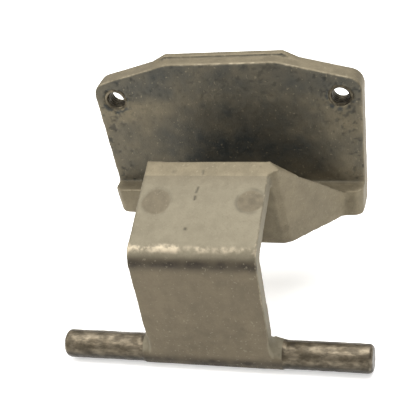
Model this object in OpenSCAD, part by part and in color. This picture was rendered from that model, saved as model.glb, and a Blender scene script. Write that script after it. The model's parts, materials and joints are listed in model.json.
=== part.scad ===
// Door hinge half: a cast leaf with two tapped holes, a gooseneck arm and a cross pin.
// Frame: origin on the pin axis at mid length, +X along the pin, +Y from the pin to the leaf's
// back face, +Z up along the leaf. The leaf bolts to the door, the pin's ends turn in two sockets.
// The real hinge is one casting. Each region of it is a solid here, flush against its neighbours.

/* [Hinge pin] */
// Diameter of the pin's two journals
pin_d = 6.35; // [4:0.05:6.7]
// Overall length of the cross pin
pin_len = 70; // [58:1:90]
// Chamfer on each pin end
pin_chamfer = 0.6; // [0.2:0.1:1]
// Amount by which the pin's middle, under the arm, is thicker than its journals
foot_gain = 0.45; // [0.3:0.05:2]
// Radius of the fillets where the arm's sides meet the pin
root_r = 2; // [1:0.25:3]

/* [Arm] */
// Width of the gooseneck arm
arm_w = 27.5; // [20:0.5:34]
// Thickness of the arm and of the walls that carry it
wall_t = 3.5; // [2.4:0.1:4]
// Height of the front bend above the pin axis
bend_z = 29; // [24:0.5:36]
// Length of the arm's top along its slope
top_len = 24; // [18:0.1:30]
// Slope of the arm's top, rising towards the leaf
top_slope = 22; // [14:1:26]
// Forward lean of the leg
leg_lean = 1.5; // [0:0.5:4]
// Inner radius of the front bend
bend_in_r = 1.5; // [0.5:0.25:3]

/* [Riser and gussets] */
// Step by which the riser is wider than the arm, on the flared side
riser_step = 1; // [0.5:0.1:2]
// Lean of the riser, drawing back towards the leaf as it goes down
riser_lean = 12.5; // [0:0.5:22]
// Share of the wall by which the flared gusset starts behind the riser's top edge
head_share = 0.4; // [0.2:0.1:0.8]
// Height of the shelf's top above the pin axis
shelf_z = 20.5; // [17:0.5:22]
// Height of the shelf's front bottom edge above the pin axis
shelf_bottom_z = 15; // [9:0.5:16]
// Width of the ear at each end of the shelf, beside the gusset's foot
ear_w = 3.4; // [2:0.1:6]
// Distance by which each ear stands in front of the leaf
ear_len = 4.2; // [2:0.1:6]
// Bevel on each ear's outer corner
ear_bevel = 1.2; // [0.4:0.1:1.8]

/* [Leaf] */
// Width of the leaf at its shoulders
leaf_w = 62.5; // [56:0.5:76]
// Amount by which each side of the leaf draws in from the shoulder to the foot
side_taper = 1.5; // [0:0.1:3]
// Thickness of the leaf
leaf_t = 5; // [3.5:0.25:6]
// Height of the leaf's top edge above the pin axis
leaf_top_z = 51.5; // [47:0.5:62]
// Height of the leaf's bottom edge above the pin axis
leaf_bottom_z = 13; // [8:0.5:15]
// Distance from the pin axis to the leaf's front face
reach = 36.5; // [33:0.5:44]
// Width of the flat part of the leaf's top edge
crown_w = 25.5; // [16:0.5:30]
// Drop of each shoulder from the crown to the leaf's side
shoulder_drop = 4.9; // [3:0.1:7]
// Radius of the leaf's upper corners
corner_r = 3.5; // [2:0.1:4]
// Height by which the rear lip stands above the crown
lip_rise = 0.6; // [0.3:0.1:0.8]
// Thickness of the rear lip
lip_t = 1.75; // [1:0.25:2]

/* [Tapped holes] */
// Distance of each hole from the leaf's side
hole_edge = 5; // [4:0.25:9]
// Distance of the holes below the leaf's top edge
hole_drop = 8.8; // [8:0.1:11]
// Bore of the tapped holes, at the thread crests
hole_d = 4.2; // [3.2:0.1:4.6]
// Depth of the countersink at each hole's front
sink_depth = 0.9; // [0.5:0.1:1.2]

/* [Hidden] */
$fn = 96;

cast_light = [0.66, 0.64, 0.56];
cast_grey = [0.45, 0.44, 0.40];
pin_grey = [0.52, 0.50, 0.45];
eps = 0.01;              // overshoot of a cutting body
root_share = 0.55;       // share of the foot's radius that the side fillets reach, front and back
lip_run = 1;             // how far the lip's top runs past the crown, each side
lip_ramp = 4.5;          // run of the lip's sloping ends, down onto the shoulders
lip_root = 0.3;          // how deep the foot of each sloping end is sunk in the shoulder
wedge_share = 1.5;       // how far the bend's cutting wedge reaches past the arc
far = 2 * (pin_len + leaf_top_z);

// Directions in the side view, as [y, z]
leg_up = [-sin(leg_lean), cos(leg_lean)];
leg_back = [cos(leg_lean), sin(leg_lean)];
top_back = [cos(top_slope), sin(top_slope)];
top_down = [sin(top_slope), -cos(top_slope)];
riser_down = [sin(riser_lean), -cos(riser_lean)];

// Leg: its front face is tangent to the pin's middle
foot_r = pin_d / 2 + foot_gain / 2;
foot_w = arm_w + 2 * root_r;
leg_foot = -foot_r * leg_back;
leg_start = leg_foot + (foot_r + root_r) * leg_up;
corner = leg_foot + leg_up * (bend_z - leg_foot[1]) / leg_up[1];

// Bend: an arc that meets the leg and the top at its tangent points
bend_r = bend_in_r + wall_t;
bend_turn = 90 - top_slope + leg_lean;
bend_reach = bend_r * tan(bend_turn / 2);
bend_low = corner - bend_reach * leg_up;
bend_high = corner + bend_reach * top_back;
bend_centre = bend_low + bend_r * leg_back;

// Riser: it drops from the back end of the arm's top. The skew wall is the wall as it is cut
// along the arm's top and along the riser's face, where the two meet.
skew_wall = wall_t / cos(top_slope - riser_lean);
top_end = corner + top_len * top_back;
riser_top = top_end - skew_wall * top_back;
riser_half = arm_w / 2 + riser_step;
function riser_y(z) = riser_top[0] + (riser_top[1] - z) * tan(riser_lean);

// Leaf
leaf_half = leaf_w / 2;
foot_half = leaf_half - side_taper;
leaf_back_y = reach + leaf_t;
hole_x = leaf_half - hole_edge;
hole_z = leaf_top_z - hole_drop;
shoulder_a = atan(shoulder_drop / (leaf_half - crown_w / 2));
shoulder_z = leaf_top_z - shoulder_drop;
lip_half = crown_w / 2 + lip_run;
lip_foot = [lip_half + lip_ramp,
            leaf_top_z - (lip_run + lip_ramp) * tan(shoulder_a) - lip_root];
side_a = atan(side_taper / (shoulder_z - leaf_bottom_z));
corner_reach = corner_r * tan((90 - shoulder_a + side_a) / 2);
corner_v = [leaf_half, shoulder_z];
corner_side = corner_v - corner_reach * [sin(side_a), cos(side_a)];
corner_top = corner_v + corner_reach * [-cos(shoulder_a), sin(shoulder_a)];
corner_c = corner_side + corner_r * [-cos(side_a), sin(side_a)];

// Gussets: the right one flares from the riser's side to the ear at the shelf's outer end, the
// left one is a straight rib behind the riser, flush with the arm's side
ear_half = foot_half - ear_w;
gusset_head = riser_top + head_share * wall_t * top_back;
gusset_foot = [reach - ear_len, shelf_z];
rib_foot = [riser_y(shelf_z) + wall_t / cos(riser_lean), shelf_z];
flare = atan((gusset_foot[0] - riser_y(shelf_z)) * cos(riser_lean) / (ear_half - riser_half));

// A side outline in [y, z], given its width along X and centred on the pin's middle
module across(w) {
    rotate([90, 0, 90])
        translate([0, 0, -w / 2])
            linear_extrude(w)
                children();
}

// A front outline in [x, z], from y = y0 back by t
module slab(y0, t) {
    translate([0, y0 + t, 0])
        rotate([90, 0, 0])
            linear_extrude(t)
                children();
}

module bar(d, len) {
    rotate([0, 90, 0])
        cylinder(d = d, h = len, center = true);
}

// One journal of the cross pin, side = -1 left or 1 right
module journal(side) {
    len = (pin_len - foot_w) / 2 - pin_chamfer;
    color(pin_grey)
        translate([side * foot_w / 2, 0, 0])
            rotate([0, side * 90, 0]) {
                cylinder(d = pin_d, h = len);
                translate([0, 0, len])
                    cylinder(d1 = pin_d, d2 = pin_d - 2 * pin_chamfer, h = pin_chamfer);
            }
}

module pin_left() {
    journal(-1);
}

module pin_right() {
    journal(1);
}

// The pin's middle, with the heel and the side fillets by which the leg runs out onto it
module arm_foot() {
    color(cast_light) {
        bar(2 * foot_r, foot_w);
        across(arm_w)
            polygon([leg_foot, leg_start, leg_start + wall_t * leg_back, [foot_r, 0]]);
        for (side = [-1, 1])
            slab(-foot_r * root_share, 2 * foot_r * root_share)
                root_fillet(side);
    }
}

// Front outline of one concave fillet beside the leg
module root_fillet(side) {
    difference() {
        translate([side * (arm_w + root_r) / 2, (foot_r + root_r) / 2])
            square([root_r, foot_r + root_r], center = true);
        translate([side * (arm_w / 2 + root_r), foot_r + root_r])
            circle(r = root_r);
    }
}

// The strip of the leg between the foot and the bend
module arm_leg() {
    color(cast_light)
        across(arm_w)
            polygon([leg_start, bend_low, bend_low + wall_t * leg_back,
                     leg_start + wall_t * leg_back]);
}

// The rounded front corner
module arm_bend() {
    color(cast_light)
        intersection() {
            translate([0, bend_centre[0], bend_centre[1]])
                difference() {
                    bar(2 * bend_r, arm_w);
                    bar(2 * bend_in_r, arm_w + 2 * eps);
                }
            across(arm_w + 2 * eps)
                polygon([bend_centre,
                         bend_centre + wedge_share * (bend_low - bend_centre),
                         bend_centre + wedge_share * (corner - bend_centre),
                         bend_centre + wedge_share * (bend_high - bend_centre)]);
        }
}

// The flat top of the gooseneck, up to the riser
module arm_top() {
    color(cast_light)
        across(arm_w)
            polygon([bend_high, riser_top, riser_top + skew_wall * riser_down,
                     bend_high + wall_t * top_down]);
}

// Block whose front is the riser's face, set in by a wall and with its right front corner cut
// off. Its right side flares back, its left side stands at x = -left.
module flared_block(inset, cut, left) {
    half = riser_half - inset * tan(flare / 2);
    translate([0, riser_top[0], riser_top[1]])
        rotate([riser_lean, 0, 0])
            translate([0, inset, -far / 2])
                linear_extrude(far)
                    polygon([[-left, 0], [half - cut, 0],
                             [half + cut * cos(flare), cut * sin(flare)],
                             [half + leaf_w, leaf_w * tan(flare)],
                             [-left, leaf_w * tan(flare)]]);
}

module flared_wall() {
    difference() {
        flared_block(0, riser_step, arm_w / 2);
        flared_block(wall_t, eps, arm_w / 2 + eps);
    }
}

// The wall that drops from the back of the arm's top to the shelf
module riser() {
    color(cast_light)
        intersection() {
            flared_wall();
            union() {
                across(arm_w)
                    polygon([riser_top, top_end, [gusset_foot[0], shelf_z],
                             [riser_y(shelf_z), shelf_z]]);
                translate([riser_step / 2, 0, 0])
                    across(arm_w + riser_step)
                        gusset_side();
            }
        }
}

// Side outline below the line that falls from the riser's top to the shelf
module gusset_side() {
    polygon([riser_top, gusset_head, gusset_foot, [riser_y(shelf_z), shelf_z]]);
}

// The straight rib behind the riser
module gusset_left() {
    color(cast_grey)
        translate([(wall_t - arm_w) / 2, 0, 0])
            across(wall_t)
                polygon([top_end, gusset_foot, rib_foot]);
}

// The triangular wall that flares back from the riser's side
module gusset_right() {
    color(cast_grey)
        intersection() {
            flared_wall();
            translate([riser_half + leaf_w / 2, 0, 0])
                across(leaf_w)
                    gusset_side();
        }
}

// The solid foot that joins the riser and both gussets to the leaf, with an ear at each end
module shelf() {
    color(cast_grey)
        intersection() {
            across(leaf_w)
                polygon([[riser_y(shelf_bottom_z), shelf_bottom_z],
                         [riser_y(shelf_z), shelf_z],
                         [reach, shelf_z], [reach, leaf_bottom_z]]);
            slab(0, reach)
                polygon([[-foot_half, 0], [foot_half, 0], [foot_half, leaf_bottom_z],
                         [leaf_half, shoulder_z], [-leaf_half, shoulder_z],
                         [-foot_half, leaf_bottom_z]]);
            union() {
                flared_block(0, riser_step, arm_w / 2);
                linear_extrude(shelf_z)
                    polygon([[-leaf_half, reach], [leaf_half, reach],
                             [leaf_half, gusset_foot[0] + ear_bevel + leaf_half - foot_half],
                             [foot_half - ear_bevel, gusset_foot[0]],
                             [ear_bevel - foot_half, gusset_foot[0]],
                             [-leaf_half, gusset_foot[0] + ear_bevel + leaf_half - foot_half]]);
            }
        }
}

// The leaf's outline, with rounded upper corners
module leaf_outline() {
    polygon([[-foot_half, leaf_bottom_z], [foot_half, leaf_bottom_z],
             corner_side, corner_top,
             [crown_w / 2, leaf_top_z], [-crown_w / 2, leaf_top_z],
             [-corner_top[0], corner_top[1]], [-corner_side[0], corner_side[1]]]);
    for (side = [-1, 1])
        translate([side * corner_c[0], corner_c[1]])
            circle(r = corner_r);
}

module tapped_hole() {
    rotate([-90, 0, 0]) {
        translate([0, 0, -eps])
            cylinder(d = hole_d, h = leaf_t + 2 * eps);
        translate([0, 0, -eps])
            cylinder(d1 = hole_d + 2 * (sink_depth + eps), d2 = hole_d, h = sink_depth + eps);
    }
}

// The leaf that bolts to the door, with its two tapped holes
module mounting_leaf() {
    color(cast_grey)
        difference() {
            union() {
                slab(reach, leaf_t)
                    leaf_outline();
                slab(leaf_back_y - lip_t, lip_t)
                    polygon([[-lip_foot[0], lip_foot[1]], lip_foot,
                             [lip_half, leaf_top_z + lip_rise],
                             [-lip_half, leaf_top_z + lip_rise]]);
            }
            for (side = [-1, 1])
                translate([side * hole_x, reach, hole_z])
                    tapped_hole();
        }
}

pin_left();
pin_right();
arm_foot();
arm_leg();
arm_bend();
arm_top();
riser();
gusset_left();
gusset_right();
shelf();
mounting_leaf();
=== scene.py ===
import json
import math

import bmesh
import bpy
import numpy as np
from mathutils import Matrix, Vector


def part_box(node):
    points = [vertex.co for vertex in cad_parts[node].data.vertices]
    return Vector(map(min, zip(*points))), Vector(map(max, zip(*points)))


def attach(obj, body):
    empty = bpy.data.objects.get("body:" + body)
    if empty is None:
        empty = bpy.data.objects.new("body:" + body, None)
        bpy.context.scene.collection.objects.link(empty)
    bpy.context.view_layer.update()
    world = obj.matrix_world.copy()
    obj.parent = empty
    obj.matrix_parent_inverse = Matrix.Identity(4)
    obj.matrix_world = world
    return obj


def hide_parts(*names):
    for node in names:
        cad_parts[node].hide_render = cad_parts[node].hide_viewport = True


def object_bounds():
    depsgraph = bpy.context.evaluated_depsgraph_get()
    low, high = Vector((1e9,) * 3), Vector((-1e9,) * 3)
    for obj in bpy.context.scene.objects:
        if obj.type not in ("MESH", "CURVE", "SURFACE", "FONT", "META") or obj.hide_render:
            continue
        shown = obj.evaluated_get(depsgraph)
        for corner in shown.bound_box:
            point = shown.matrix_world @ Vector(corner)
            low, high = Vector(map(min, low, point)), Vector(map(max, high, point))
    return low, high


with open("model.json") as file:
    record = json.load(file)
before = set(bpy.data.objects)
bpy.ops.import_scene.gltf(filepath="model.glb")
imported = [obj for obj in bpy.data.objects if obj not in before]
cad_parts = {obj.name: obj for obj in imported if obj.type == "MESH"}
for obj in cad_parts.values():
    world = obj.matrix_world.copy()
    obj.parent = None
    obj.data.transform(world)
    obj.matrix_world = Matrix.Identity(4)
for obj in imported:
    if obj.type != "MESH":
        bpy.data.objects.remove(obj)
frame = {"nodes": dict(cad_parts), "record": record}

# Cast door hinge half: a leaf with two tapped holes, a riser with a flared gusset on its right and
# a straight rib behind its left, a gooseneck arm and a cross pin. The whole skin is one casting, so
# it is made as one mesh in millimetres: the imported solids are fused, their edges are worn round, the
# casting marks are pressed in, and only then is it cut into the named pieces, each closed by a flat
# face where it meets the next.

CAD_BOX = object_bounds()
MM = 0.001

# Shape values of the casting, in millimetres and radians
WALL = 3.5
TOP_SLOPE = math.radians(22)
RISER_LEAN = math.radians(12.5)
LEG_LEAN = math.radians(1.5)
BEND_R = 5.0
BORE_R = 2.5            # the tapped holes at the bottom of their thread
CREST_R = 1.95
PITCH = 0.8
THREAD_DEPTH = 4.0
THREAD_START = 0.4      # how far behind the leaf's front face the thread begins
VOXEL = 0.28
SCATTER_SEED = 7          # the one seed of the scattered pits and flash
PITS = 110

# Ejector marks on the arm's top: place across and up the slope, radius, depth
EJECTOR_MARKS = (((10.9, 10.3), 3.0, 0.11), ((-9.6, 10.0), 3.3, 0.05))
# Marks of the mould's parting line: start up the slope, length, half width
PARTING_MARKS = ((17.0, 1.0, 0.16), (12.4, 1.3, 0.2), (10.6, 0.8, 0.24), (3.2, 0.3, 0.3))

CAMERA_PLACE = (63.1, -159.3, 151.2)
CAMERA_AHEAD = (-0.2849, 0.7812, -0.5554)
CAMERA_ROLL = math.radians(10.7)
LENS_MM = 88
FLOOR_HALF = 3.0
FLOOR_GAP = 0.0002


# ---------------------------------------------------------------- places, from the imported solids

def corners(node):
    low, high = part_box(node)
    return np.array(low) / MM, np.array(high) / MM


leaf_lo, leaf_hi = corners("mounting_leaf")
top_lo, top_hi = corners("arm_top")
leg_start = corners("arm_leg")[0] * (0, 1, 1)
gusset_hi = corners("gusset_right")[1]

REACH = leaf_lo[1]
SHELF_Z = corners("shelf")[1][2]
FOOT_HALF = corners("arm_foot")[1][0]
ARM_HALF = top_hi[0]
RISER_HALF = corners("riser")[1][0]

leg_up = np.array([0, -math.sin(LEG_LEAN), math.cos(LEG_LEAN)])
top_back = np.array([0, math.cos(TOP_SLOPE), math.sin(TOP_SLOPE)])
top_out = np.array([0, -math.sin(TOP_SLOPE), math.cos(TOP_SLOPE)])
riser_back = np.array([0, math.cos(RISER_LEAN), math.sin(RISER_LEAN)])
bend_high = np.array([0, top_lo[1], top_lo[2] + WALL * math.cos(TOP_SLOPE)])
skew = WALL / math.cos(TOP_SLOPE - RISER_LEAN)
riser_top = np.array([0, top_hi[1] - skew * math.sin(RISER_LEAN), top_hi[2]])
top_end = riser_top + skew * top_back
gusset_foot = np.array([0, gusset_hi[1], SHELF_Z])
gusset_head = riser_top + (gusset_hi[2] - riser_top[2]) / math.sin(TOP_SLOPE) * top_back
flare_run = (gusset_hi[0] - RISER_HALF) / ((gusset_foot - riser_top) @ riser_back)
bend_centre = bend_high - BEND_R * top_out
bend_low = bend_centre - BEND_R * np.array([0, math.cos(LEG_LEAN), math.sin(LEG_LEAN)])

holes = next(m for m in frame["record"]["mounts"] if m["name"] == "mounting_holes")
HOLE_X = holes["dims"]["spacing_x_mm"] / 2
HOLE_Z = holes["pos_m"][2] / MM


# ---------------------------------------------------------------- camera, floor and light

def look(ob, place, ahead, up):
    back = -Vector(ahead).normalized()
    right = Vector(up).cross(back).normalized()
    turn = Matrix((right, back.cross(right), back)).transposed()
    ob.matrix_world = Matrix.Translation(place) @ turn.to_4x4()


def add_camera():
    data = bpy.data.cameras.new("camera")
    data.sensor_width = 36
    data.lens = LENS_MM
    data.clip_start = 0.01
    cam = bpy.data.objects.new("camera", data)
    bpy.context.scene.collection.objects.link(cam)
    ahead = Vector(CAMERA_AHEAD)
    right = ahead.cross(Vector((0, 0, 1))).normalized()
    up = right.cross(ahead) * math.cos(CAMERA_ROLL) + right * math.sin(CAMERA_ROLL)
    look(cam, Vector(CAMERA_PLACE) * MM, ahead, up)
    bpy.context.scene.camera = cam


def add_lamp(name, place, aim, side, watts, tint=(1, 1, 1)):
    data = bpy.data.lights.new(name, "AREA")
    data.shape = "SQUARE"
    data.size = side
    data.energy = watts
    data.color = tint
    lamp = bpy.data.objects.new(name, data)
    bpy.context.scene.collection.objects.link(lamp)
    place = Vector(place)
    look(lamp, place, Vector(aim) - place, Vector((0, 1, 0.01)))


def add_studio():
    world = bpy.data.worlds.new("studio")
    bpy.context.scene.world = world
    world.use_nodes = True
    sky = world.node_tree.nodes["Background"]
    sky.inputs["Color"].default_value = (1.0, 0.99, 0.97, 1)
    sky.inputs["Strength"].default_value = 0.5
    add_lamp("overhead", (0.02, 0.12, 0.62), (0, 0.02, 0.02), 0.7, 6.5)
    add_lamp("window", (-0.45, -0.25, 0.5), (0, 0.02, 0.02), 0.4, 2.2, (1.0, 0.98, 0.95))

    mesh = bpy.data.meshes.new("floor")
    half = FLOOR_HALF
    z = CAD_BOX[0][2] - FLOOR_GAP
    mesh.from_pydata([(-half, -half, z), (half, -half, z), (half, half, z), (-half, half, z)],
                     [], [(0, 1, 2, 3)])
    floor = bpy.data.objects.new("floor", mesh)
    bpy.context.scene.collection.objects.link(floor)
    # A paper that glows a little, as on a light table, so that only faint shadows are left on it
    paper = bpy.data.materials.new("pale_paper")
    paper.use_nodes = True
    shader = paper.node_tree.nodes["Principled BSDF"]
    shader.inputs["Base Color"].default_value = (0.93, 0.93, 0.92, 1)
    shader.inputs["Roughness"].default_value = 0.9
    shader.inputs["Emission Color"].default_value = (1, 1, 1, 1)
    shader.inputs["Emission Strength"].default_value = 0.45
    mesh.materials.append(paper)
    bpy.context.scene.view_settings.view_transform = "Standard"


add_camera()
add_studio()


# ---------------------------------------------------------------- mesh helpers

def grain(points, size, seed):
    """Smooth random values from -1 to 1 that change over about one size."""
    side = 48
    table = np.random.default_rng(seed).uniform(-1, 1, (side, side, side))
    scaled = points / size
    cell = np.floor(scaled).astype(int)
    part = scaled - cell
    part = part * part * (3 - 2 * part)
    total = np.zeros(len(points))
    for dx in (0, 1):
        for dy in (0, 1):
            for dz in (0, 1):
                share = np.ones(len(points))
                for axis, step in enumerate((dx, dy, dz)):
                    share *= part[:, axis] if step else 1 - part[:, axis]
                spot = (cell + (dx, dy, dz)) % side
                total += share * table[spot[:, 0], spot[:, 1], spot[:, 2]]
    return total


def ramp(value, start, end):
    t = np.clip((value - start) / (end - start), 0, 1)
    return t * t * (3 - 2 * t)


def relax(points, edges, rounds, pull, push=0.0):
    """Draws each point towards its neighbours; a push after each pull keeps the volume."""
    a, b = edges[:, 0], edges[:, 1]
    count = len(points)
    share = 1.0 / (np.bincount(a, minlength=count) + np.bincount(b, minlength=count))
    for _ in range(rounds):
        for weight in (pull, push):
            if weight:
                mean = np.stack([(np.bincount(a, points[b, k], count)
                                  + np.bincount(b, points[a, k], count)) * share
                                 for k in range(3)], axis=1)
                points = points + weight * (mean - points)
    return points


def evaluated_mesh(ob):
    bpy.context.view_layer.update()
    graph = bpy.context.evaluated_depsgraph_get()
    return bpy.data.meshes.new_from_object(ob.evaluated_get(graph))


def new_object(name, mesh):
    ob = bpy.data.objects.new(name, mesh)
    bpy.context.scene.collection.objects.link(ob)
    return ob


def node_copy(node):
    """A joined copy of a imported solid, in millimetres."""
    bm = bmesh.new()
    bm.from_mesh(frame["nodes"][node].data)
    bmesh.ops.remove_doubles(bm, verts=bm.verts, dist=1e-7)
    bmesh.ops.scale(bm, verts=bm.verts, vec=(1 / MM, 1 / MM, 1 / MM))
    mesh = bpy.data.meshes.new(node + "_copy")
    bm.to_mesh(mesh)
    bm.free()
    return mesh


def bored_leaf():
    """The leaf with its two holes opened to the bottom of their thread."""
    leaf = new_object("leaf_blank", node_copy("mounting_leaf"))
    bm = bmesh.new()
    for side in (-1, 1):
        place = (Matrix.Translation((side * HOLE_X, (leaf_lo[1] + leaf_hi[1]) / 2, HOLE_Z))
                 @ Matrix.Rotation(math.pi / 2, 4, "X"))
        bmesh.ops.create_cone(bm, cap_ends=True, segments=64, radius1=BORE_R, radius2=BORE_R,
                              depth=12, matrix=place)
    mesh = bpy.data.meshes.new("drills")
    bm.to_mesh(mesh)
    bm.free()
    drills = new_object("drills", mesh)
    cut = leaf.modifiers.new("cut", "BOOLEAN")
    cut.operation = "DIFFERENCE"
    cut.solver = "EXACT"
    cut.object = drills
    result = evaluated_mesh(leaf)
    bpy.data.objects.remove(leaf)
    bpy.data.objects.remove(drills)
    return result


def add_shoulder(bm):
    """The sloping facet that runs from the arm's rear corner down onto the flared gusset."""
    spots = []
    for share in (0.02, 0.3):
        spot = gusset_head + share * (gusset_foot - gusset_head)
        spot[0] = RISER_HALF + flare_run * ((spot - riser_top) @ riser_back) - 0.15
        spots += [spot, spot - (0, 0, 1.5)]
    for spot in (gusset_head, top_end):
        spots += [spot + (ARM_HALF - 0.3, 0, 0), spot + (ARM_HALF - 0.3, 0, -4)]
    points = [bm.verts.new(spot) for spot in spots]
    done = bmesh.ops.convex_hull(bm, input=points)
    spare = [v for v in points if v.is_valid and not v.link_faces]
    bmesh.ops.delete(bm, geom=spare, context="VERTS")
    shell = [f for f in done["geom"] if isinstance(f, bmesh.types.BMFace)]
    bmesh.ops.recalc_face_normals(bm, faces=shell)


def fused_casting():
    """All the solids as one closed skin of small, even squares."""
    bm = bmesh.new()
    for node in sorted(frame["nodes"]):
        bm.from_mesh(bored_leaf() if node == "mounting_leaf" else node_copy(node))
    add_shoulder(bm)
    mesh = bpy.data.meshes.new("rough_casting")
    bm.to_mesh(mesh)
    bm.free()
    ob = new_object("rough_casting", mesh)
    skin = ob.modifiers.new("skin", "REMESH")
    skin.mode = "VOXEL"
    skin.voxel_size = VOXEL
    result = evaluated_mesh(ob)
    bpy.data.objects.remove(ob)
    return result


def points_of(mesh):
    flat = np.zeros(len(mesh.vertices) * 3, np.float32)
    mesh.vertices.foreach_get("co", flat)
    return flat.reshape(-1, 3).astype(float)


def normals_of(mesh):
    flat = np.zeros(len(mesh.vertices) * 3, np.float32)
    mesh.vertex_normals.foreach_get("vector", flat)
    return flat.reshape(-1, 3).astype(float)


def set_points(mesh, points):
    mesh.vertices.foreach_set("co", points.astype(np.float32).ravel())
    mesh.update()


# ---------------------------------------------------------------- the casting's surface

def on_top(points):
    """Where each point is on the arm's sloping top: across, up the slope, and above it."""
    rel = points - bend_high
    return points[:, 0], rel @ top_back, rel @ top_out


def around_bend(points):
    """Distance from the bend's axis, and the angle round it from the leg's front to the top."""
    rel = points - bend_centre
    out = np.hypot(rel[:, 1], rel[:, 2])
    angle = np.degrees(np.arctan2(rel[:, 2], -rel[:, 1]))
    return out, angle


def surface_marks(points, normals, edges):
    """How far each point moves along its normal, and the masks that the finishes use."""
    x, y, z = points.T
    across, up_slope, above = on_top(points)
    rng = np.random.default_rng(SCATTER_SEED)

    smooth = relax(points, edges, 14, 0.6)
    bulge = np.einsum("ij,ij->i", points - smooth, normals)
    edge = ramp(bulge, 0.03, 0.22)
    nook = ramp(-bulge, 0.02, 0.2)

    on_leaf = ramp(y, REACH - 1.6, REACH - 0.4)
    leaf_face = on_leaf * ramp(-normals[:, 1], 0.6, 0.9)
    on_pin = ramp(np.abs(x), FOOT_HALF - 1.5, FOOT_HALF + 0.5) * ramp(-z, -6, -4)
    top_face = (ramp(normals @ top_out, 0.75, 0.95) * ramp(above, -0.8, -0.3)
                * ramp(-np.abs(across), -ARM_HALF - 0.3, -ARM_HALF + 0.2)
                * ramp(up_slope, -1, 0) * ramp(-up_slope, -22, -20))
    out, angle = around_bend(points)
    on_bend = ramp(out, BEND_R - 0.9, BEND_R - 0.4) * ramp(angle, -8, 6) * ramp(-angle, -78, -62)
    front_leg = ramp(-normals[:, 1], 0.8, 0.95) * ramp(-y, 0, 2.5)

    # The sand-like skin of the casting, and a slow wander of its flat faces
    move = (0.04 * grain(points, 7, 1) + 0.022 * grain(points, 2.2, 2)
            + 0.014 * grain(points, 0.9, 3))
    move += (0.045 * leaf_face + 0.03 * on_bend + 0.03 * on_pin) * grain(points, 1.1, 4)
    move -= 0.04 * edge * ramp(grain(points, 1.6, 5), 0.1, 0.7)
    move += 0.06 * nook * ramp(grain(points, 1.3, 6), 0.2, 0.8)

    # Rough patches, close together along the leaf's sides and below its crown
    near_side = ramp(np.abs(x), 17, 30) + 0.6 * ramp(z, leaf_hi[2] - 14, leaf_hi[2] - 5)
    patches = ramp(grain(points, 1.0, 15) + 0.6 * grain(points, 0.5, 16), 0.2, 0.7)
    rough = leaf_face * np.clip(near_side, 0, 1) * patches
    move -= 0.08 * rough
    pitted = 0.85 * rough

    # A few shallow gas pits
    weight = 0.12 + 1.2 * leaf_face + 1.0 * on_pin + 0.3 * on_bend
    weight /= weight.sum()
    for spot in rng.choice(len(points), PITS, p=weight, replace=False):
        size = rng.uniform(0.25, 0.55)
        near = np.exp(-((points - points[spot]) ** 2).sum(1) / size ** 2)
        move -= rng.uniform(0.08, 0.2) * size * near
        pitted = np.maximum(pitted, 0.4 * near)

    # Two round ejector marks on the arm's top, one faint and one rough
    faint = 0 * x
    for middle, radius, depth in EJECTOR_MARKS:
        far = np.hypot(across - middle[0], up_slope - middle[1]) + 0.35 * grain(points, 2.6, 17)
        ring = np.exp(-((far - radius) / 0.3) ** 2) * ramp(grain(points, 2.4, 18), -0.5, 0.3)
        inside = ramp(-far, -radius, -radius + 0.6)
        swirl = np.sin(far * 4.6 + 1.5 * grain(points, 1.8, 19)) * inside
        move -= top_face * depth * (0.8 * ring + 0.25 * inside + 0.35 * swirl)
        mark = top_face * (0.5 * ring + 0.3 * inside * ramp(grain(points, 0.9, 9), -0.3, 0.6))
        pitted = np.maximum(pitted, mark * depth / 0.11)
        faint = np.maximum(faint, 0.7 * top_face * inside)

    # The mould's parting line: a few short marks up the arm, and a slight step at the bend
    line_x = -2.3 + 0.1 * up_slope + 0.12 * np.sin(up_slope * 0.9)
    off = across - line_x
    groove = 0 * x
    for start, run, width in PARTING_MARKS:
        along = (ramp(up_slope, start - 0.35, start)
                 * ramp(-up_slope, -start - run - 0.35, -start - run))
        groove = np.maximum(groove, top_face * along * np.exp(-(off / width) ** 2))
    move -= 0.16 * groove
    step = ramp(-off, -0.15, 0.15) * (on_bend + 0.6 * top_face * ramp(-up_slope, -5, 0))
    move += 0.09 * np.clip(step, 0, 1)

    # Small flash left in the corners where the leg runs out onto the pin
    for side in (-1, 1):
        for _ in range(6):
            place = np.array([side * (ARM_HALF + rng.uniform(-0.4, 1.8)),
                              rng.uniform(-3.2, -1.4), rng.uniform(2.2, 4.4)])
            near = np.exp(-((points - place) ** 2).sum(1) / rng.uniform(0.45, 0.85) ** 2)
            move += rng.uniform(0.05, 0.15) * near

    # A plain round mark of the mould in the middle of the leaf's face
    far = np.hypot(x - 1.3, z - 42.6) + 0.3 * grain(points, 2.2, 20)
    move += 0.05 * leaf_face * (np.exp(-((far - 3.6) / 0.3) ** 2)
                                + 0.5 * np.exp(-((far - 2.2) / 0.3) ** 2))

    # The rims of the tapped holes are burred
    rim = 0 * x
    for side in (-1, 1):
        far = np.hypot(x - side * HOLE_X, z - HOLE_Z)
        ring = np.exp(-((far - 3.1) / 0.6) ** 2) * on_leaf
        move += 0.2 * ring * grain(points, 0.9, 12)
        burr = ramp(grain(points, 0.9, 24) + 0.5 * grain(points, 0.45, 25), -0.3, 0.5)
        rim = np.maximum(rim, ring * burr)

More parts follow.
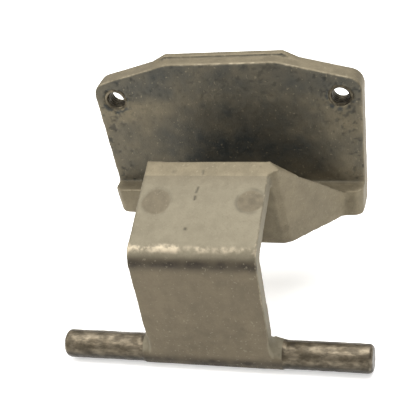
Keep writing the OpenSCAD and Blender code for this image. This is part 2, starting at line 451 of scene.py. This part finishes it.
    # Colour masks: painted shade and dark reflection together with the burred hole rims, a brown tint
    # that on the leg's front is also painted shade, and rubbed edges together with painted highlights
    # Painted shade and dark reflection on the leaf's face: darker over its lower middle and towards
    # its right, in a band below its top, and a little darker all over, with some random variation
    leaf_painted_reflection = np.exp(-((x + 3) / 18) ** 2 - ((z - 30) / 10) ** 2)
    leaf_painted_reflection = np.maximum(leaf_painted_reflection, 0.8 * np.exp(-((x - 13) / 15) ** 2 - ((z - 28) / 8) ** 2))
    leaf_painted_reflection = np.maximum(leaf_painted_reflection, 0.7 * np.exp(-((x - 8) / 16) ** 2 - ((z - 38) / 8) ** 2))
    leaf_painted_reflection = np.maximum(leaf_painted_reflection, 0.6 * ramp(z, leaf_hi[2] - 13, leaf_hi[2] - 6))
    dark = leaf_face * (0.2 + 0.75 * leaf_painted_reflection + 0.25 * grain(points, 5, 13)
                        + 0.15 * grain(points, 1.8, 21))
    skin_out = ramp(out, BEND_R - 1, BEND_R - 0.4)
    # Painted shade: a dark band round the lower, forward-facing part of the bend
    bend_painted_shade = np.exp(-((angle - 14) / 15) ** 2) * skin_out * ramp(-y, -2, 2)
    dark = np.maximum(dark, (0.95 + 0.35 * grain(points, 1.6, 22)) * bend_painted_shade)
    # Painted shade on the pin's downward-facing side
    underside_shade = ramp(-normals[:, 2], -0.6, 0.25)
    dark = np.maximum(dark, 0.9 * on_pin * underside_shade)
    # Painted shade: the arm's foot darker towards its bottom, where it runs into the pin
    dark = np.maximum(dark, (0.85 + 0.3 * grain(points, 1.4, 26)) * ramp(-z, -1.8, 0.4)
                      * ramp(-np.abs(x), -FOOT_HALF - 1, -FOOT_HALF))
    dark = np.maximum(dark, rim)
    # Brown tint on the leaf, behind the riser, on the rear of the arm's top and in the ejector marks;
    # on the leg's front face, picked by the way it faces, it is also painted shade
    brown_and_leg_shade = np.maximum(np.maximum(0.9 * front_leg, 0.75 * on_leaf), faint)
    brown_and_leg_shade = np.maximum(brown_and_leg_shade, 0.8 * top_face * ramp(up_slope, 12, 20))
    behind = ramp((points - riser_top) @ riser_back, -0.5, 0.5)
    brown_and_leg_shade = np.maximum(brown_and_leg_shade, behind * (1 - on_leaf) * 0.7)
    # Painted highlight: a bright band round the upper part of the bend, brighter on the left side of
    # the parting line
    left_half = 0.6 + 0.4 * ramp(-off, -0.2, 0.2)
    bend_painted_highlight = np.exp(-((angle - 52) / 13) ** 2) * skin_out * ramp(-y, -2, 2) * left_half
    bend_painted_highlight *= 0.7 + 0.2 * grain(points, 2.4, 14) + 0.1 * grain(points, 0.8, 23)
    # Painted highlight on the up-facing faces at the top of the leaf
    crown = ramp(normals[:, 2], 0.6, 0.9) * ramp(z, leaf_hi[2] - 9, leaf_hi[2] - 7)
    # This mask holds the rubbed edges and the burred hole rims together with the painted highlights
    wear_and_highlight = np.clip(0.5 * edge + bend_painted_highlight + 0.15 * crown
                   + 0.35 * rim * ramp(grain(points, 0.7, 27), 0, 0.4), 0, 1)
    # The nook mask is painted shade in concave corners and creases, with the pits, ejector marks and
    # parting-line marks; the dark mask is painted shade and dark reflection, with the burred hole rims
    masks = {"edge": wear_and_highlight, "nook": np.clip(0.7 * nook + pitted + groove, 0, 1),
             "dark": np.clip(dark, 0, 1), "brown_and_leg_shade": np.clip(brown_and_leg_shade, 0, 1)}
    return move, masks


def finished_casting():
    mesh = fused_casting()
    count = len(mesh.edges)
    flat = np.zeros(count * 2, np.int32)
    mesh.edges.foreach_get("vertices", flat)
    edges = flat.reshape(-1, 2)
    points = relax(points_of(mesh), edges, 9, 0.55, -0.56)
    points = relax(points, edges, 4, 0.5)
    x, y, z = points.T
    ears = ramp(np.abs(x), 22, 27) * ramp(-z, -18, -15.5) * ramp(y, 26, 30)
    roots = ramp(np.abs(x), ARM_HALF - 1, ARM_HALF) * ramp(-np.abs(x), -FOOT_HALF - 1, -FOOT_HALF)
    roots *= ramp(z, 1, 2.5) * ramp(-z, -7, -5.5)
    soft = np.maximum(ears, 0.8 * roots)[:, None]
    points = points + soft * (relax(points, edges, 30, 0.6) - points)
    set_points(mesh, points)
    move, masks = surface_marks(points, normals_of(mesh), edges)
    points = points + move[:, None] * normals_of(mesh)
    low = np.array(CAD_BOX[0]) / MM
    high = np.array(CAD_BOX[1]) / MM
    points = np.clip(points, low, high)
    set_points(mesh, points)
    for name, values in masks.items():
        layer = mesh.attributes.new(name, "FLOAT", "POINT")
        layer.data.foreach_set("value", values.astype(np.float32))
    skin = mesh.attributes.new("skin", "FLOAT_VECTOR", "POINT")
    skin.data.foreach_set("vector", normals_of(mesh).astype(np.float32).ravel())
    return mesh


# ---------------------------------------------------------------- cutting it into its pieces

def cut(bm, place, normal):
    """Splits a closed mesh at a plane into (behind, in front), each closed by a flat face."""
    halves = []
    for sign in (1, -1):
        half = bm.copy()
        geometry = half.verts[:] + half.edges[:] + half.faces[:]
        done = bmesh.ops.bisect_plane(half, geom=geometry, dist=1e-5, plane_co=place,
                                      plane_no=np.array(normal) * sign, clear_outer=True)
        rim = [e for e in done["geom_cut"] if isinstance(e, bmesh.types.BMEdge)]
        for e in rim:
            e.smooth = False
        caps = bmesh.ops.edgeloop_fill(half, edges=[e for e in rim if e.is_boundary])["faces"]
        for face in caps:
            face.smooth = False
            face.material_index = 0
        halves.append(half)
    bm.free()
    return halves


def cut_pieces(mesh):
    whole = bmesh.new()
    whole.from_mesh(mesh)
    for face in whole.faces:
        face.smooth = True
    pieces = {}
    root = 0.9         # the fillet at the leaf's foot stays on the leaf
    skim = 0.35        # cuts beside a face stand off it by this
    rest, pieces["mounting_leaf"] = cut(whole, (0, REACH - root, 0), (0, 1, 0))
    low, rest = cut(rest, leg_start, leg_up)
    pieces["pin_left"], low = cut(low, (-FOOT_HALF, 0, 0), (1, 0, 0))
    pieces["arm_foot"], pieces["pin_right"] = cut(low, (FOOT_HALF, 0, 0), (1, 0, 0))
    arm, rest = cut(rest, riser_top - skim * riser_back, riser_back)
    arm, pieces["arm_top"] = cut(arm, bend_high, top_back)
    pieces["arm_leg"], pieces["arm_bend"] = cut(arm, bend_low, leg_up)
    pieces["shelf"], rest = cut(rest, (0, 0, SHELF_Z + skim), (0, 0, 1))
    # the flared gusset is parted where its inner face meets the riser's
    mitre = RISER_HALF - WALL * math.tan(math.atan(1 / flare_run) / 2) - 0.1
    rest, pieces["gusset_right"] = cut(rest, (mitre, 0, 0), (1, 0, 0))
    pieces["riser"], pieces["gusset_left"] = cut(rest, riser_top + (WALL + skim) * riser_back,
                                                 riser_back)
    return pieces


def piece_object(node, bm, material):
    """A cut piece in metres, shaded with the whole casting's normals so that no seam shows."""
    mesh = bpy.data.meshes.new(node + "_skin")
    bm.to_mesh(mesh)
    bm.free()
    skin = np.zeros(len(mesh.vertices) * 3, np.float32)
    mesh.attributes["skin"].data.foreach_get("vector", skin)
    skin = skin.reshape(-1, 3)
    corner = np.zeros(len(mesh.loops), np.int32)
    mesh.loops.foreach_get("vertex_index", corner)
    normals = skin[corner]
    for face in mesh.polygons:
        if not face.use_smooth:
            span = slice(face.loop_start, face.loop_start + face.loop_total)
            normals[span] = face.normal
    mesh.attributes.remove(mesh.attributes["skin"])
    mesh.transform(Matrix.Scale(MM, 4))
    mesh.normals_split_custom_set(normals.tolist())
    mesh.materials.clear()
    mesh.materials.append(material)
    return new_object("cast_" + node, mesh)


# ---------------------------------------------------------------- threads in the tapped holes

def thread_tree():
    """A round-crested thread along a bore, set at each point of the mesh that it is given."""
    tree = bpy.data.node_groups.new("tapped_thread", "GeometryNodeTree")
    face = tree.interface
    face.new_socket(name="Geometry", in_out="INPUT", socket_type="NodeSocketGeometry")
    for name, value in (("Bore Radius", BORE_R * MM), ("Crest Size", (BORE_R - CREST_R) * MM),
                        ("Depth", THREAD_DEPTH * MM), ("Turns", THREAD_DEPTH / PITCH)):
        socket = face.new_socket(name=name, in_out="INPUT", socket_type="NodeSocketFloat")
        socket.default_value = value
    face.new_socket(name="Finish", in_out="INPUT", socket_type="NodeSocketMaterial")
    face.new_socket(name="Geometry", in_out="OUTPUT", socket_type="NodeSocketGeometry")
    nodes, links = tree.nodes, tree.links
    given = nodes.new("NodeGroupInput")
    result = nodes.new("NodeGroupOutput")
    coil = nodes.new("GeometryNodeCurveSpiral")
    coil.inputs["Resolution"].default_value = 36
    links.new(given.outputs["Turns"], coil.inputs["Rotations"])
    links.new(given.outputs["Bore Radius"], coil.inputs["Start Radius"])
    links.new(given.outputs["Bore Radius"], coil.inputs["End Radius"])
    links.new(given.outputs["Depth"], coil.inputs["Height"])
    crest = nodes.new("GeometryNodeCurvePrimitiveCircle")
    crest.inputs["Resolution"].default_value = 8
    links.new(given.outputs["Crest Size"], crest.inputs["Radius"])
    thread = nodes.new("GeometryNodeCurveToMesh")
    thread.inputs["Fill Caps"].default_value = True
    links.new(coil.outputs["Curve"], thread.inputs["Curve"])
    links.new(crest.outputs["Curve"], thread.inputs["Profile Curve"])
    lay = nodes.new("GeometryNodeTransform")
    lay.inputs["Rotation"].default_value = (-math.pi / 2, 0, 0)
    links.new(thread.outputs["Mesh"], lay.inputs["Geometry"])
    put = nodes.new("GeometryNodeInstanceOnPoints")
    links.new(given.outputs["Geometry"], put.inputs["Points"])
    links.new(lay.outputs["Geometry"], put.inputs["Instance"])
    real = nodes.new("GeometryNodeRealizeInstances")
    links.new(put.outputs["Instances"], real.inputs["Geometry"])
    paint = nodes.new("GeometryNodeSetMaterial")
    links.new(real.outputs["Geometry"], paint.inputs["Geometry"])
    links.new(given.outputs["Finish"], paint.inputs["Material"])
    links.new(paint.outputs["Geometry"], result.inputs["Geometry"])
    return tree


def threads(material):
    tree = thread_tree()
    mesh = bpy.data.meshes.new("thread_starts")
    start = REACH + THREAD_START
    mesh.from_pydata([(side * HOLE_X * MM, start * MM, HOLE_Z * MM) for side in (-1, 1)], [], [])
    ob = new_object("thread_starts", mesh)
    grow = ob.modifiers.new("grow", "NODES")
    grow.node_group = tree
    sockets = {s.name: s.identifier for s in tree.interface.items_tree if s.in_out == "INPUT"}
    grow[sockets["Finish"]] = material
    result = evaluated_mesh(ob)
    bpy.data.objects.remove(ob)
    for face in result.polygons:
        face.use_smooth = True
    return new_object("hole_threads", result)


# ---------------------------------------------------------------- finishes

def tone(red, green, blue):
    """A linear colour from its everyday 0 to 255 values."""
    return [((c / 255 + 0.055) / 1.055) ** 2.4 if c > 10 else c / 3295
            for c in (red, green, blue)] + [1]


def deeper(colour, share):
    """The same colour, darkened."""
    return [c * share for c in colour[:3]] + [1]


class Nodes:
    """Short calls for building a shader tree."""

    def __init__(self, tree):
        self.tree = tree

    def add(self, kind, inputs=None, **settings):
        node = self.tree.nodes.new(kind)
        for key, value in settings.items():
            setattr(node, key, value)
        for key, value in (inputs or {}).items():
            self.feed(node.inputs[key], value)
        return node

    def feed(self, socket, value):
        if isinstance(value, bpy.types.NodeSocket):
            self.tree.links.new(value, socket)
        else:
            socket.default_value = value

    def math(self, operation, a, b=0.0, clamp=False):
        node = self.add("ShaderNodeMath", {0: a, 1: b}, operation=operation, use_clamp=clamp)
        return node.outputs[0]

    def span(self, value, low, high):
        return self.add("ShaderNodeMapRange", {"Value": value, "From Min": low, "From Max": high},
                        interpolation_type="SMOOTHSTEP").outputs["Result"]

    def mix(self, share, first, second):
        node = self.add("ShaderNodeMix", data_type="RGBA")
        self.feed(node.inputs[0], share)
        self.feed(node.inputs[6], first)
        self.feed(node.inputs[7], second)
        return node.outputs[2]

    def noise(self, where, size_mm, detail=3.0, rough=0.55):
        return self.add("ShaderNodeTexNoise", {"Vector": where, "Scale": 1 / (size_mm * MM),
                                               "Detail": detail, "Roughness": rough}).outputs["Fac"]

    def mask(self, name):
        return self.add("ShaderNodeAttribute", attribute_name=name).outputs["Fac"]


def shader_group(name, inputs, outputs):
    tree = bpy.data.node_groups.new(name, "ShaderNodeTree")
    for label, value in inputs:
        tree.interface.new_socket(name=label, in_out="INPUT",
                                  socket_type="NodeSocketFloat").default_value = value
    for label in outputs:
        tree.interface.new_socket(name=label, in_out="OUTPUT", socket_type="NodeSocketFloat")
    return tree, Nodes(tree), tree.nodes.new("NodeGroupInput"), tree.nodes.new("NodeGroupOutput")


def cast_grain_group():
    """The fine skin of a die casting: a height for the bump, a mottle and small light specks."""
    tree, n, given, result = shader_group(
        "cast_grain", [("Coarseness", 1.0)], ["Height", "Mottle", "Specks"])
    where = n.add("ShaderNodeTexCoord").outputs["Object"]
    scaled = n.add("ShaderNodeVectorMath", {0: where}, operation="SCALE")
    n.feed(scaled.inputs["Scale"], n.math("DIVIDE", 1.0, given.outputs["Coarseness"]))
    spot = scaled.outputs["Vector"]
    fine = n.noise(spot, 0.35, 4)
    coarse = n.noise(spot, 1.6, 3)
    wide = n.noise(spot, 6.0, 2)
    pores = n.add("ShaderNodeTexVoronoi", {"Vector": spot, "Scale": 1 / (1.3 * MM),
                                           "Randomness": 1.0}).outputs["Distance"]
    pore = n.span(pores, 0.0, 0.16)
    height = n.math("ADD", n.math("MULTIPLY", fine, 0.6), n.math("MULTIPLY", coarse, 0.8))
    n.feed(result.inputs["Height"], n.math("ADD", height, n.math("MULTIPLY", pore, 0.35)))
    mottle = n.math("ADD", n.math("MULTIPLY", coarse, 0.45), n.math("MULTIPLY", wide, 0.55))
    mottle = n.math("ADD", n.math("MULTIPLY", mottle, 0.8), n.math("MULTIPLY", fine, 0.2))
    n.feed(result.inputs["Mottle"], n.span(mottle, 0.34, 0.66))
    sparkle = n.noise(spot, 0.55, 2, 0.4)
    n.feed(result.inputs["Specks"], n.span(sparkle, 0.64, 0.72))
    return tree


def stain_group():
    """Soft cloudy stains with small dark flecks, as a bare casting gets from handling."""
    tree, n, given, result = shader_group("cloudy_stain", [("Size mm", 3.0)], ["Stain", "Flecks"])
    where = n.add("ShaderNodeTexCoord").outputs["Object"]
    scaled = n.add("ShaderNodeVectorMath", {0: where}, operation="SCALE")
    n.feed(scaled.inputs["Scale"], n.math("DIVIDE", 3.0, given.outputs["Size mm"]))
    spot = scaled.outputs["Vector"]
    n.feed(result.inputs["Stain"], n.span(n.noise(spot, 3.0, 5, 0.65), 0.4, 0.64))
    n.feed(result.inputs["Flecks"], n.span(n.noise(spot, 0.5, 4, 0.7), 0.56, 0.68))
    return tree


def wear_and_highlight_group():
    """Where the skin is rubbed bright, and where highlights are painted on, broken up so that no edge
    is evenly worn.
    """
    tree, n, given, result = shader_group(
        "rubbed_edges_and_highlights", [("Rub And Highlight", 0.0), ("Amount", 1.0)], ["Mask"])
    where = n.add("ShaderNodeTexCoord").outputs["Object"]
    breakup = n.math("ADD", n.math("MULTIPLY", n.noise(where, 1.1, 3), 0.6),
                     n.math("MULTIPLY", n.noise(where, 5.0, 2), 0.5))
    level = n.math("MULTIPLY", given.outputs["Rub And Highlight"], given.outputs["Amount"])
    level = n.math("MULTIPLY", level, n.span(breakup, 0.3, 0.75))
    n.feed(result.inputs["Mask"], n.span(level, 0.12, 0.7))
    return tree


def new_material(name):
    material = bpy.data.materials.new(name)
    material.use_nodes = True
    tree = material.node_tree
    return material, Nodes(tree), tree.nodes["Principled BSDF"]


def add_group(n, tree, inputs):
    node = n.tree.nodes.new("ShaderNodeGroup")
    node.node_tree = tree
    for key, value in inputs.items():
        n.feed(node.inputs[key], value)
    return node.outputs


def cast_material(name, grain_tree, wear_and_highlight_tree, light, mid, brown_and_leg_shade, dark, bright, wear_and_highlight_amount, coarse, dent,
                  stained):
    material, n, shader = new_material(name)
    skin = add_group(n, grain_tree, {"Coarseness": coarse})
    rub_and_highlight = add_group(n, wear_and_highlight_tree, {"Rub And Highlight": n.mask("edge"), "Amount": wear_and_highlight_amount})["Mask"]
    colour = n.mix(skin["Mottle"], mid, light)
    # Brown tint, which on the leg's front face also paints its shade
    colour = n.mix(n.mask("brown_and_leg_shade"), colour, n.mix(skin["Mottle"], deeper(brown_and_leg_shade, 0.72), brown_and_leg_shade))
    clouds = add_group(n, stain_tree, {"Size mm": 2.6})
    soiled = deeper(brown_and_leg_shade, 0.5)
    colour = n.mix(n.math("MULTIPLY", clouds["Stain"], 0.5 * stained), colour, soiled)
    colour = n.mix(n.math("MULTIPLY", clouds["Flecks"], stained), colour, soiled)
    patchy = n.math("ADD", 0.75, n.math("MULTIPLY", skin["Mottle"], 0.35))
    # Painted shade and dark reflection, and the burred hole rims, in the dark tone
    shade = n.math("MULTIPLY", n.mask("dark"), patchy, True)
    colour = n.mix(shade, colour, dark)
    colour = n.mix(n.math("MULTIPLY", skin["Specks"], 0.45), colour, light)
    # Painted shade in concave corners, and the pits and mould marks, in a deeper dark tone
    colour = n.mix(n.math("MULTIPLY", n.mask("nook"), 0.72), colour, deeper(dark, 0.45))
    # Rubbed edges and painted highlights, in the bright tone
    colour = n.mix(rub_and_highlight, colour, bright)
    n.feed(shader.inputs["Base Color"], colour)
    shader.inputs["Metallic"].default_value = 0.65
    rough = n.math("SUBTRACT", 0.6, n.math("MULTIPLY", rub_and_highlight, 0.2))
    n.feed(shader.inputs["Roughness"],
           n.math("ADD", rough, n.math("MULTIPLY", skin["Mottle"], 0.06)))
    bump = n.add("ShaderNodeBump",
                 {"Strength": dent, "Distance": 0.12 * MM, "Height": skin["Height"]})
    n.feed(shader.inputs["Normal"], bump.outputs["Normal"])
    return material


def pin_material(grain_tree, wear_and_highlight_tree):
    """Metal burnished along and across by turning in its sockets."""
    material, n, shader = new_material("burnished_pin")
    where = n.add("ShaderNodeTexCoord").outputs["Object"]
    skin = add_group(n, grain_tree, {"Coarseness": 0.9})
    rub_and_highlight = add_group(n, wear_and_highlight_tree, {"Rub And Highlight": n.mask("edge"), "Amount": 1.1})["Mask"]
    drawn = n.add("ShaderNodeMapping", {"Vector": where, "Scale": (0.55, 1, 1)}).outputs["Vector"]
    streaks = n.span(n.noise(drawn, 1.5, 4, 0.6), 0.36, 0.68)
    scores = n.span(n.noise(where, 2.4, 3, 0.6), 0.42, 0.66)
    colour = n.mix(streaks, tone(76, 69, 57), tone(124, 114, 97))
    colour = n.mix(n.math("MULTIPLY", scores, 0.35), colour, tone(88, 78, 62))
    # Painted shade on the pin's underside
    colour = n.mix(n.math("MULTIPLY", n.mask("dark"), 0.85), colour, tone(24, 22, 18))
    # Painted shade in the pin's concave corners, and its pits
    colour = n.mix(n.math("MULTIPLY", n.mask("nook"), 0.6), colour, tone(40, 35, 27))
    colour = n.mix(rub_and_highlight, colour, tone(176, 166, 146))
    n.feed(shader.inputs["Base Color"], colour)
    shader.inputs["Metallic"].default_value = 0.85
    n.feed(shader.inputs["Roughness"], n.math("SUBTRACT", 0.46, n.math("MULTIPLY", streaks, 0.12)))
    height = n.math("ADD", n.math("MULTIPLY", skin["Height"], 0.7),
                    n.math("MULTIPLY", streaks, 0.5))
    bump = n.add("ShaderNodeBump", {"Strength": 0.6, "Distance": 0.1 * MM, "Height": height})
    n.feed(shader.inputs["Normal"], bump.outputs["Normal"])
    return material


def thread_material(grain_tree):
    material, n, shader = new_material("cut_thread")
    skin = add_group(n, grain_tree, {"Coarseness": 0.7})
    colour = n.mix(skin["Mottle"], tone(40, 36, 29), tone(104, 96, 80))
    n.feed(shader.inputs["Base Color"], colour)
    shader.inputs["Metallic"].default_value = 0.85
    n.feed(shader.inputs["Roughness"],
           n.math("SUBTRACT", 0.5, n.math("MULTIPLY", skin["Mottle"], 0.15)))
    bump = n.add("ShaderNodeBump",
                 {"Strength": 0.4, "Distance": 0.08 * MM, "Height": skin["Height"]})
    n.feed(shader.inputs["Normal"], bump.outputs["Normal"])
    return material


# ---------------------------------------------------------------- putting it together

grain_tree = cast_grain_group()
wear_and_highlight_tree = wear_and_highlight_group()
stain_tree = stain_group()
# The one casting's finish in two copies whose tones are set apart to stand in for how light falls: one
# for the arm, and one for the leaf, riser, gussets and shelf, whose dark tone is a blue-grey painted
# reflection
lit_copy_skin = cast_material("cast_skin_lit_copy", grain_tree, wear_and_highlight_tree, tone(128, 121, 103),
                           tone(114, 107, 90), tone(104, 94, 76), tone(54, 48, 40),
                           tone(172, 160, 138), 1.1, 1.0, 0.6, 0.2)
shaded_copy_skin = cast_material("cast_skin_shaded_copy", grain_tree, wear_and_highlight_tree, tone(140, 131, 110),
                          tone(118, 110, 91), tone(122, 112, 91), tone(58, 61, 60),
                          tone(160, 150, 128), 0.9, 1.25, 0.9, 0.42)
pin_skin = pin_material(grain_tree, wear_and_highlight_tree)
finish = {"arm_foot": lit_copy_skin, "arm_leg": lit_copy_skin, "arm_bend": lit_copy_skin,
          "arm_top": lit_copy_skin, "pin_left": pin_skin, "pin_right": pin_skin}

for node, bm in cut_pieces(finished_casting()).items():
    piece = piece_object(node, bm, finish.get(node, shaded_copy_skin))
    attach(piece, "root")
    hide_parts(node)

crests = threads(thread_material(grain_tree))
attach(crests, "root")
